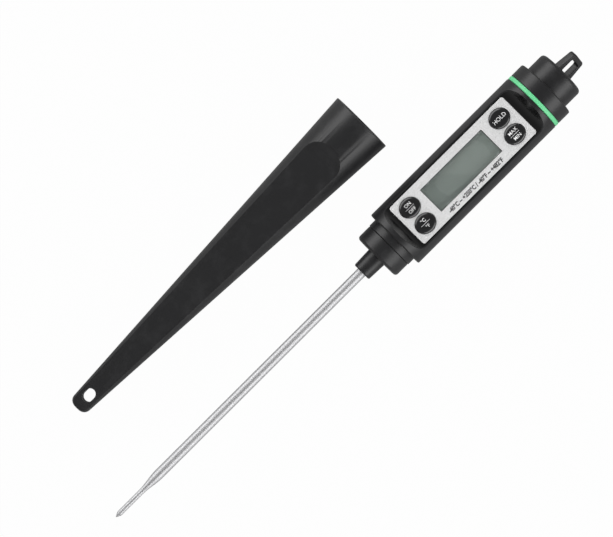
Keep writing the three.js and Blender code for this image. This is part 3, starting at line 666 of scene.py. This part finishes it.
def make_probe():
    """Pointed needle, swage and parallel tube in one drawn piece."""
    outer = [(TIP, 0, 0), (TIP + 0.05 * MM, 0.16 * MM, 0), (TIP + POINT_LENGTH, 0.97 * MM, 0)]
    outer += [(TIP + POINT_LENGTH + 0.5 * MM, NEEDLE_R, 0), (NEEDLE_END, NEEDLE_R, 0)]
    swage = SWAGE_END - NEEDLE_END
    for i in range(1, 12):
        share = i / 12
        radius = NEEDLE_R + (TUBE_R - NEEDLE_R) * smooth_step(share)
        outer.append((NEEDLE_END + swage * share, radius, 0))
    wall = 0.4 * MM
    outer += [(SWAGE_END, TUBE_R, 0), (TUBE_END, TUBE_R, 0)]
    inner = [(TUBE_END, TUBE_R - wall, 0), (SWAGE_END, TUBE_R - wall, 0), (SWAGE_END, 0, 0)]
    finished("probe", spun(outer + inner, 64), STEEL, "handle", ["probe_tube"])


BOOT_FRONT_R = 3.75 * MM
BOOT_REAR_R = 4.1 * MM


def make_boot():
    bore = TUBE_R + 0.12 * MM
    points = [(BOOT_FRONT, bore, 0.1 * MM), (BOOT_FRONT, BOOT_FRONT_R, 0.6 * MM),
              (NOSE_FRONT + 1.5 * MM, BOOT_REAR_R, 0), (NOSE_FRONT + 1.5 * MM, bore, 0)]
    finished("probe_sleeve", spun(points, 96), BLACK, "handle", ["probe_boot"])


def make_nose():
    bore = BOOT_REAR_R + 0.12 * MM
    inner = 8.15 * MM
    wall = 1.7 * MM
    points = [(NOSE_FRONT, bore, 0.15 * MM), (NOSE_FRONT, NOSE_R, 1.3 * MM), (NECK_FRONT, NOSE_R, 0.25 * MM),
              (NECK_FRONT, inner, 0), (NOSE_FRONT + wall, inner, 0), (NOSE_FRONT + wall, bore, 0)]
    finished("nose_collar", spun(points), BLACK, "handle", ["nose_cap"])


# ---------- handle shell ----------

SCOOP_FRONT = (BODY_FRONT + 2.0 * MM, BODY_FRONT + 5.9 * MM)
SCOOP_REAR = (BODY_REAR - 1.1 * MM, BODY_REAR - 5.9 * MM)
KEY_LENGTH = 8.3 * MM
KEY_WIDTH = 7.2 * MM


def key_place(name):
    low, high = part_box(f"{name}_key")
    return (low.x + high.x) / 2, (low.y + high.y) / 2


def recess_cutter():
    """The flat display recess with its curved end walls."""
    top = AXIS_Z + SHELL_R
    above = top + 2 * MM
    front = curved_ramp(SCOOP_FRONT[1], FLAT_Z, SCOOP_FRONT[0], top)
    rear = curved_ramp(SCOOP_REAR[1], FLAT_Z, SCOOP_REAR[0], top)
    line = [(front[-1][0], above), *reversed(front), *rear, (rear[-1][0], above)]
    return prism(line, -SHELL_R - 2 * MM, SHELL_R + 2 * MM, axis="Y")


def cavity_cutter():
    """The D-shaped hollow that the circuit module slides into, flat under the display floor."""
    radius = SHELL_R - WALL
    flat = FLAT_Z - AXIS_Z - WALL
    first = math.asin(flat / radius)
    turn = math.pi + 2 * first
    steps = 48
    line = [(radius * math.cos(first - turn * i / steps), AXIS_Z + radius * math.sin(first - turn * i / steps))
            for i in range(steps + 1)]
    return prism(line, BODY_FRONT + 2.5 * MM, BODY_REAR - WALL + 0.01 * MM, axis="X")


def window_cutters():
    """The display opening with its ledge, and the wells and stem holes of the keys."""
    top = FLAT_Z + MM
    under = FLAT_Z - WALL - MM
    ledge = 0.65 * MM
    play = 0.12 * MM
    cuts = [block((WINDOW_LOW.x + ledge, WINDOW_LOW.y + ledge, under),
                  (WINDOW_HIGH.x - ledge, WINDOW_HIGH.y - ledge, top)),
            block((WINDOW_LOW.x - play, WINDOW_LOW.y - play, WINDOW_LOW.z - 0.04 * MM),
                  (WINDOW_HIGH.x + play, WINDOW_HIGH.y + play, top))]
    for name in KEY_NAMES:
        x, y = key_place(name)
        cuts.append(oval(x, y, KEY_LENGTH + 0.3 * MM, KEY_WIDTH + 0.3 * MM, FLAT_Z - 1.15 * MM, top, 48))
    return cuts


def make_shell():
    """The round shell from its neck to the spigot that the cap screws over."""
    cavity_rear = BODY_REAR - WALL
    points = [
        (NECK_FRONT + 0.05 * MM, 0, 0), (NECK_FRONT + 0.05 * MM, NECK_R, 0.3 * MM),
        (BODY_FRONT, NECK_R, 0.15 * MM), (BODY_FRONT, SHELL_R, 0.5 * MM), (BODY_REAR, SHELL_R, 0.35 * MM),
        (BODY_REAR, SPIGOT_R, 0), (SPIGOT_END, SPIGOT_R, 0.4 * MM), (SPIGOT_END, BORE_R, 0.2 * MM),
        (cavity_rear, BORE_R, 0), (cavity_rear, 0, 0),
    ]
    outside = carved(spun(points), cuts=[recess_cutter()], bevel=0.35 * MM, angle=28)
    hollowed = bmesh.new()
    hollowed.from_mesh(outside)
    mesh = carved(hollowed, cuts=[cavity_cutter(), *window_cutters()])
    dressed("shell", mesh, SHELL_BLACK, "handle", ["handle_body"])


def make_thread():
    """The raised thread round the spigot, seen with the cap off."""
    bm = bmesh.new()
    pitch = 2.5 * MM
    turns = 1.6
    start = BODY_REAR + 1.0 * MM
    half = 0.5 * MM
    corners = [(start, SPIGOT_R - 0.05 * MM), (start + half, SPIGOT_R + 0.22 * MM),
               (start + 2 * half, SPIGOT_R - 0.05 * MM)]
    verts = [bm.verts.new((x, 0, AXIS_Z + r)) for x, r in corners]
    face = bm.faces.new(verts)
    steps = int(SIDES * turns)
    bmesh.ops.spin(bm, geom=[face], cent=(0, 0, AXIS_Z), axis=(1, 0, 0), dvec=(pitch * turns / steps, 0, 0),
                   angle=2 * math.pi * turns, steps=steps, use_duplicate=False)
    bmesh.ops.recalc_face_normals(bm, faces=bm.faces)
    finished("spigot_thread", bm, BLACK, "handle")


# ---------- display face ----------

WINDOW_LENGTH = 31.6 * MM
WINDOW_WIDTH = 11.25 * MM
WINDOW_X = (WINDOW_LOW.x + WINDOW_HIGH.x) / 2
WINDOW_Y = (WINDOW_LOW.y + WINDOW_HIGH.y) / 2


def round_corners(low_x, high_x, low_y, high_y, radius, steps=8):
    points = []
    for cx, cy, first in ((high_x - radius, low_y + radius, -90), (high_x - radius, high_y - radius, 0),
                          (low_x + radius, high_y - radius, 90), (low_x + radius, low_y + radius, 180)):
        for i in range(steps + 1):
            angle = math.radians(first + 90 * i / steps)
            points.append((cx + radius * math.cos(angle), cy + radius * math.sin(angle)))
    return points


def make_label():
    outline = round_corners(LABEL_LOW.x, LABEL_HIGH.x, LABEL_LOW.y, LABEL_HIGH.y, 0.9 * MM)
    plate = prism(outline, FLAT_Z + 0.05 * MM, LABEL_TOP)
    window = round_corners(WINDOW_X - WINDOW_LENGTH / 2, WINDOW_X + WINDOW_LENGTH / 2,
                           WINDOW_Y - WINDOW_WIDTH / 2, WINDOW_Y + WINDOW_WIDTH / 2, 0.3 * MM, 3)
    cuts = [prism(window, FLAT_Z - MM, LABEL_TOP + MM)]
    for name in KEY_NAMES:
        x, y = key_place(name)
        cuts.append(oval(x, y, KEY_LENGTH + 0.3 * MM, KEY_WIDTH + 0.3 * MM, FLAT_Z - MM, LABEL_TOP + MM))
    mesh = carved(plate, cuts=cuts, bevel=0.06 * MM, bevel_steps=2, angle=50)
    dressed("label", mesh, LABEL, "handle", ["face_label"])


def make_window():
    bm = block(WINDOW_LOW, WINDOW_HIGH)
    bmesh.ops.bevel(bm, geom=list(bm.edges), offset=0.1 * MM, offset_type="OFFSET", segments=2, profile=0.5,
                    affect="EDGES", material=-1)
    window = finished("window", bm, WINDOW, "handle", ["display_window"])
    window.visible_shadow = False


def make_display():
    """The display's glass with its polarising film, which stands up into the opening."""
    bm = block(GLASS_LOW, GLASS_HIGH)
    bmesh.ops.bevel(bm, geom=list(bm.edges), offset=0.08 * MM, offset_type="OFFSET", segments=2, profile=0.5,
                    affect="EDGES", material=-1)
    inset = 0.95 * MM
    film_and_sheen = block((WINDOW_LOW.x + inset, WINDOW_LOW.y + inset, GLASS_HIGH.z - 0.2 * MM),
                 (WINDOW_HIGH.x - inset, WINDOW_HIGH.y - inset, WINDOW_LOW.z - 0.1 * MM))
    mesh = carved(bm, joins=[film_and_sheen])
    dressed("display", mesh, DISPLAY, "handle", ["display_glass"])


def make_key(name):
    """A domed oval key on a straight oval skirt that reaches down into its well."""
    low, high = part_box(f"{name}_key")
    x, y = key_place(name)
    crown_side = LABEL_TOP + 0.15 * MM
    crown = high.z - crown_side
    bm = bmesh.new()
    bmesh.ops.create_uvsphere(bm, u_segments=64, v_segments=32, radius=1.0)
    lower = [v for v in bm.verts if v.co.z < -1e-6]
    bmesh.ops.delete(bm, geom=lower, context="VERTS")
    rim = [e for e in bm.edges if e.is_boundary]
    drop = bmesh.ops.extrude_edge_only(bm, edges=rim)
    bottom = [g for g in drop["geom"] if isinstance(g, bmesh.types.BMVert)]
    bmesh.ops.translate(bm, verts=bottom, vec=(0, 0, -1))
    bmesh.ops.contextual_create(bm, geom=[e for e in bm.edges if e.is_boundary])
    skirt = crown_side - (FLAT_Z - 0.6 * MM)
    for v in bm.verts:
        height = (crown if v.co.z >= 0 else skirt) * v.co.z
        v.co = (x + v.co.x * KEY_LENGTH / 2, y + v.co.y * KEY_WIDTH / 2, crown_side + height)
    bmesh.ops.recalc_face_normals(bm, faces=bm.faces)
    finished(f"{name}_button", bm, KEY_BLACK, f"{name}_key", [f"{name}_key"], sharp=50)


# ---------- seal, cap and loop ----------

LOOP_TURN = math.radians(57)
LOOP_WIDTH = 10.8 * MM
LOOP_END_WIDTH = 8.2 * MM
LOOP_THICKNESS = 2.8 * MM
LOOP_LEG = 2.0 * MM
SLOT_WIDTH = 5.8 * MM


def make_seal():
    inner = SPIGOT_R + 0.15 * MM
    points = [(SEAL_FRONT, inner, 0.2 * MM), (SEAL_FRONT, SEAL_R + 0.05 * MM, 0.4 * MM),
              (SEAL_REAR, SEAL_R + 0.05 * MM, 0.4 * MM), (SEAL_REAR, inner, 0.2 * MM)]
    finished("green_seal", spun(points), GREEN, "cap_seal", ["seal_ring"])


def loop_outline():
    half, end_half = LOOP_WIDTH / 2, LOOP_END_WIDTH / 2
    root = KNOB_REAR - 0.6 * MM
    corner = 1.3 * MM
    points = [(root, -half)]
    for cy, first in ((-end_half + corner, -90), (end_half - corner, 0)):
        for i in range(7):
            angle = math.radians(first + 90 * i / 6)
            points.append((LOOP_END - corner + corner * math.cos(angle), cy + corner * math.sin(angle)))
    points.append((root, half))
    return points


def slot_outline():
    bar = LOOP_END - LOOP_LEG
    half = SLOT_WIDTH / 2
    return round_corners(KNOB_REAR + 0.05 * MM, bar, -half, half, 0.9 * MM, 5)


def make_cap():
    """Flange, knob and hang loop in one moulding, hollow for the spring."""
    bore = SPIGOT_R + 0.3 * MM
    bore_end = SPIGOT_END + 0.4 * MM
    chamber = 7.2 * MM
    chamber_end = KNOB_REAR - 2.0 * MM
    points = [
        (CAP_FRONT, bore, 0.2 * MM), (CAP_FRONT, CAP_R, 0.3 * MM), (FLANGE_REAR, CAP_R, 0.6 * MM),
        (FLANGE_REAR, KNOB_R, 0.25 * MM), (KNOB_REAR, KNOB_R, 1.5 * MM), (KNOB_REAR, 0, 0),
        (chamber_end, 0, 0), (chamber_end, chamber, 0.3 * MM), (bore_end, chamber, 0.2 * MM),
        (bore_end, bore, 0),
    ]
    tab = prism(loop_outline(), -LOOP_THICKNESS / 2, LOOP_THICKNESS / 2)
    slot = prism(slot_outline(), -LOOP_THICKNESS, LOOP_THICKNESS)
    loop = carved(tab, cuts=[slot], bevel=0.3 * MM, bevel_steps=4, angle=40)
    turn = Matrix.Translation((0, 0, AXIS_Z)) @ Matrix.Rotation(LOOP_TURN, 4, "X")
    loop.transform(turn)
    joined = bmesh.new()
    joined.from_mesh(loop)
    mesh = carved(spun(points), joins=[joined])
    dressed("cap", mesh, BLACK, "battery_cap", ["battery_cap"])


# ---------- sheath ----------

SHEATH_LENGTH = 149.7 * MM
MOUTH_R = 12.6 * MM
END_R = 3.85 * MM
SHEATH_WALL = 1.3 * MM
SLOPE = (MOUTH_R - END_R) / SHEATH_LENGTH
SHEATH_TILT = math.atan(SLOPE * math.cos(math.pi / 32))
SHEATH_Y = (SHEATH_LOW.y + SHEATH_HIGH.y) / 2


def cone_at(x):
    return END_R + SLOPE * x


def laid(mesh):
    """Lays a mesh made along +X from the closed end where the sheath lies."""
    lift = END_R * math.cos(SHEATH_TILT)
    turn = Euler((0, -SHEATH_TILT, 0)).to_matrix().to_4x4()
    place = Matrix.Translation((-163.0 * MM, SHEATH_Y, lift))
    mesh.transform(place @ turn)
    return mesh


def make_sheath():
    """Tapered cap with a flat front panel, a hang hole and a hollow for the probe."""
    round_end = 2.8 * MM
    grip = (SHEATH_LENGTH - 5.5 * MM, 10.2 * MM)
    outer = [(0, 0, 0), (0, cone_at(0), round_end), (SHEATH_LENGTH, MOUTH_R, 0.35 * MM),
             (SHEATH_LENGTH, grip[1], 0.3 * MM), (grip[0], grip[1], 0),
             (grip[0], cone_at(grip[0]) - SHEATH_WALL - 0.3 * MM, 0),
             (128 * MM, 7.7 * MM, 0), (12.5 * MM, 1.6 * MM, 0), (12.5 * MM, 0, 0)]
    panel_end = SHEATH_LENGTH - 14.4 * MM
    panel_x = panel_end - 7.8 * MM
    z0 = END_R - 1.6 * MM
    z1 = cone_at(panel_x) - 3.2 * MM
    ramp = curved_ramp(panel_x, z1, panel_end, cone_at(panel_end), steps=12)
    above = MOUTH_R + 2 * MM
    panel = prism([(-MM, above), (-MM, z0), *ramp, (ramp[-1][0], above)], -above, above, axis="Y")
    half = 0.75 * MM
    hole = [(6.7 * MM + side * half + 2.1 * MM * math.cos(a), 2.1 * MM * math.sin(a))
            for side, first in ((1, -90), (-1, 90)) for a in
            [math.radians(first + 180 * i / 12) for i in range(13)]]
    hang = prism(hole, -above, above)
    mesh = carved(spun(outer, centre=(0.0, 0.0)), cuts=[panel, hang], bevel=0.25 * MM, angle=24)
    dressed("sheath_body", laid(mesh), BLACK, "sheath", ["sheath"])


# ---------- printed legends ----------


def lettering(words, x, y, height, weight, width=None):
    """Flat lettering a few hundredths thick, centred on a point at height zero."""
    curve = bpy.data.curves.new("lettering", "FONT")
    curve.body = words
    curve.size = height * 1.25
    curve.align_x = "CENTER"
    curve.align_y = "CENTER"
    curve.extrude = 0.012 * MM
    curve.offset = weight
    curve.resolution_u = 3
    text = bpy.data.objects.new("lettering", curve)
    scene.collection.objects.link(text)
    graph = bpy.context.evaluated_depsgraph_get()
    mesh = bpy.data.meshes.new_from_object(text.evaluated_get(graph))
    bpy.data.objects.remove(text)
    xs = [v.co.x for v in mesh.vertices]
    ys = [v.co.y for v in mesh.vertices]
    stretch = width / (max(xs) - min(xs)) if width else 1.0
    middle = Vector(((max(xs) + min(xs)) / 2, (max(ys) + min(ys)) / 2, 0))
    mesh.transform(Matrix.Translation((x, y, 0)) @ Matrix.Scale(stretch, 4, (1, 0, 0)) @ Matrix.Translation(-middle))
    return mesh


LEGEND_HEIGHT = 1.75 * MM
LEGENDS = {"power": ("ON", "OFF"), "unit": ("\u00b0C", "\u00b0F"), "hold": ("HOLD",), "range": ("MAX", "MIN")}
RANGE_WORDS = "-40\u00b0C ~ +250\u00b0C / -40\u00b0F ~ +482\u00b0F"


def settle_on_crown(mesh, name):
    """Drops flat lettering onto a key's dome."""
    x, y = key_place(name)
    crown_side = LABEL_TOP + 0.15 * MM
    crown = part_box(f"{name}_key")[1].z - crown_side
    for v in mesh.vertices:
        share = ((v.co.x - x) / (KEY_LENGTH / 2)) ** 2 + ((v.co.y - y) / (KEY_WIDTH / 2)) ** 2
        v.co.z += crown_side + crown * math.sqrt(max(0.0, 1 - share)) + 0.008 * MM


def make_key_legend(name):
    """One or two words with a rule between them, printed on the key."""
    x, y = key_place(name)
    words = LEGENDS[name]
    merged = bmesh.new()
    rows = (0.0,) if len(words) == 1 else (1.3 * MM, -1.3 * MM)
    height = LEGEND_HEIGHT if len(words) == 1 else 0.85 * LEGEND_HEIGHT
    for word, row in zip(words, rows):
        merged.from_mesh(lettering(word, x, y + row, height, 0.01 * MM))
    if len(words) > 1:
        rule = block((x - 2.1 * MM, y - 0.06 * MM, 0), (x + 2.1 * MM, y + 0.06 * MM, 0.024 * MM))
        bmesh.ops.subdivide_edges(rule, edges=rule.edges, cuts=8, use_grid_fill=True)
        merged.from_mesh(mesh_of(rule))
    mesh = mesh_of(merged)
    settle_on_crown(mesh, name)
    dressed(f"{name}_legend", mesh, WHITE_INK, f"{name}_key")


def make_range_line():
    y = (LABEL_LOW.y + WINDOW_LOW.y + 0.7 * MM) / 2
    mesh = lettering(RANGE_WORDS, WINDOW_X, y, 1.85 * MM, 0.1 * MM, 27.5 * MM)
    mesh.transform(Matrix.Translation((0, 0, LABEL_TOP - 0.004 * MM)))
    dressed("range_print", mesh, BLACK_INK, "handle")


# ---------- carried-over pieces ----------

CARRIED = {
    "thermistor_bead": EPOXY, "lead_wire_a": RED_WIRE, "lead_wire_b": BLACK_WIRE, "potting_plug": EPOXY,
    "nose_oring": RUBBER, "display_holder": WHITE_PLASTIC, "connector_strip_a": RUBBER,
    "connector_strip_b": RUBBER, "circuit_board": BOARD, "module_chassis": WHITE_PLASTIC,
    "board_screw_front": NICKEL, "board_screw_rear": NICKEL, "controller_chip": EPOXY,
    "timing_crystal": NICKEL, "battery_carrier": WHITE_PLASTIC, "button_cell": CELL_STEEL,
    "contact_negative": NICKEL, "contact_positive": NICKEL, "cap_spring": NICKEL,
}


def dress_carried():
    for name in KEY_NAMES:
        CARRIED[f"{name}_dome"] = RUBBER
    for node, material in CARRIED.items():
        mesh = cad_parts[node].data
        mesh.materials.clear()
        mesh.materials.append(material)


make_stage()
make_probe()
make_boot()
make_nose()
make_shell()
make_thread()
make_label()
make_window()
make_display()
for key_name in KEY_NAMES:
    make_key(key_name)
    make_key_legend(key_name)
make_range_line()
make_seal()
make_cap()
make_sheath()
dress_carried()
